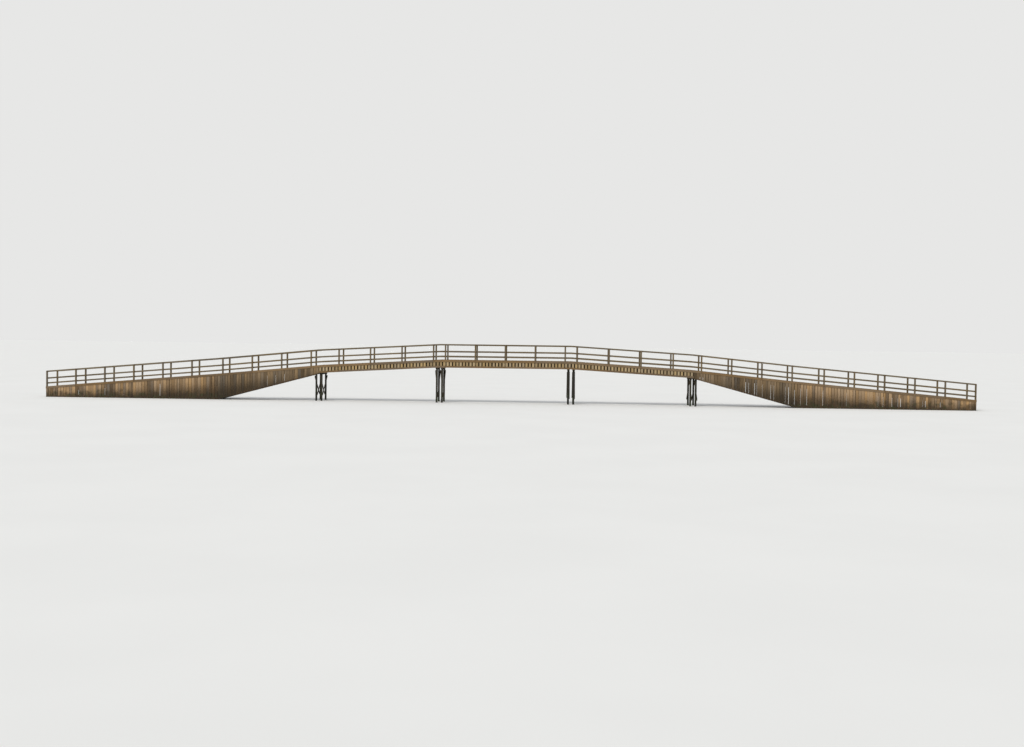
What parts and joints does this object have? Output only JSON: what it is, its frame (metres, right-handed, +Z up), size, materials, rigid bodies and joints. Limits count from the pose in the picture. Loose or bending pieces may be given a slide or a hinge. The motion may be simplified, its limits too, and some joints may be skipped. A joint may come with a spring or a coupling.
{
  "type": "timber footbridge at 1:2 scale",
  "caption": "Long, gently cambered timber footbridge at half scale, on braced pile piers, with boarded sides, ramps down to both banks and post-and-rail railings.",
  "frame": {"origin": "middle of the bridge in plan, at the water level on which the piles, skirts and end walls stand", "axes": "+X along the bridge towards the right bank, +Y across it away from the side in the picture, +Z up"},
  "size_m": [31.08, 0.972, 1.965],
  "materials": {
    "deck_planks": "weathered grey-brown planks, dry and rough",
    "girders": "dark weathered softwood beams",
    "side_boards": "weathered upright boards, grey-brown with darker edges",
    "railings": "weathered olive-brown softwood",
    "piles": "dark, damp round timber with green growth near the water",
    "pier_timbers": "dark tarred or wet sawn timber"
  },
  "bodies": {
    "root": {"left_end_wall": "side_boards", "left_ramp_trestles": "pier_timbers", "left_ramp_girders": "girders", "left_ramp_deck": "deck_planks", "left_ramp_skirts": "side_boards", "left_ramp_railings": "railings", "left_shore_girders": "girders", "left_shore_deck": "deck_planks", "left_shore_skirts": "side_boards", "left_shore_railings": "railings", "left_span_girders": "girders", "left_span_deck": "deck_planks", "left_span_boarding": "side_boards", "left_span_railings": "railings", "pier_1_piles": "piles", "pier_1_caps": "pier_timbers", "pier_1_braces": "pier_timbers", "pier_2_piles": "piles", "pier_2_caps": "pier_timbers", "pier_2_braces": "pier_timbers", "centre_span_girders": "girders", "centre_span_deck": "deck_planks", "centre_span_boarding": "side_boards", "centre_span_railings": "railings", "pier_3_piles": "piles", "pier_3_caps": "pier_timbers", "pier_3_braces": "pier_timbers", "pier_4_piles": "piles", "pier_4_caps": "pier_timbers", "pier_4_braces": "pier_timbers", "right_span_girders": "girders", "right_span_deck": "deck_planks", "right_span_boarding": "side_boards", "right_span_railings": "railings", "right_shore_girders": "girders", "right_shore_deck": "deck_planks", "right_shore_skirts": "side_boards", "right_shore_railings": "railings", "right_ramp_girders": "girders", "right_ramp_deck": "deck_planks", "right_ramp_skirts": "side_boards", "right_ramp_railings": "railings", "right_ramp_trestles": "pier_timbers", "right_end_wall": "side_boards"}
  },
  "joints": []
}
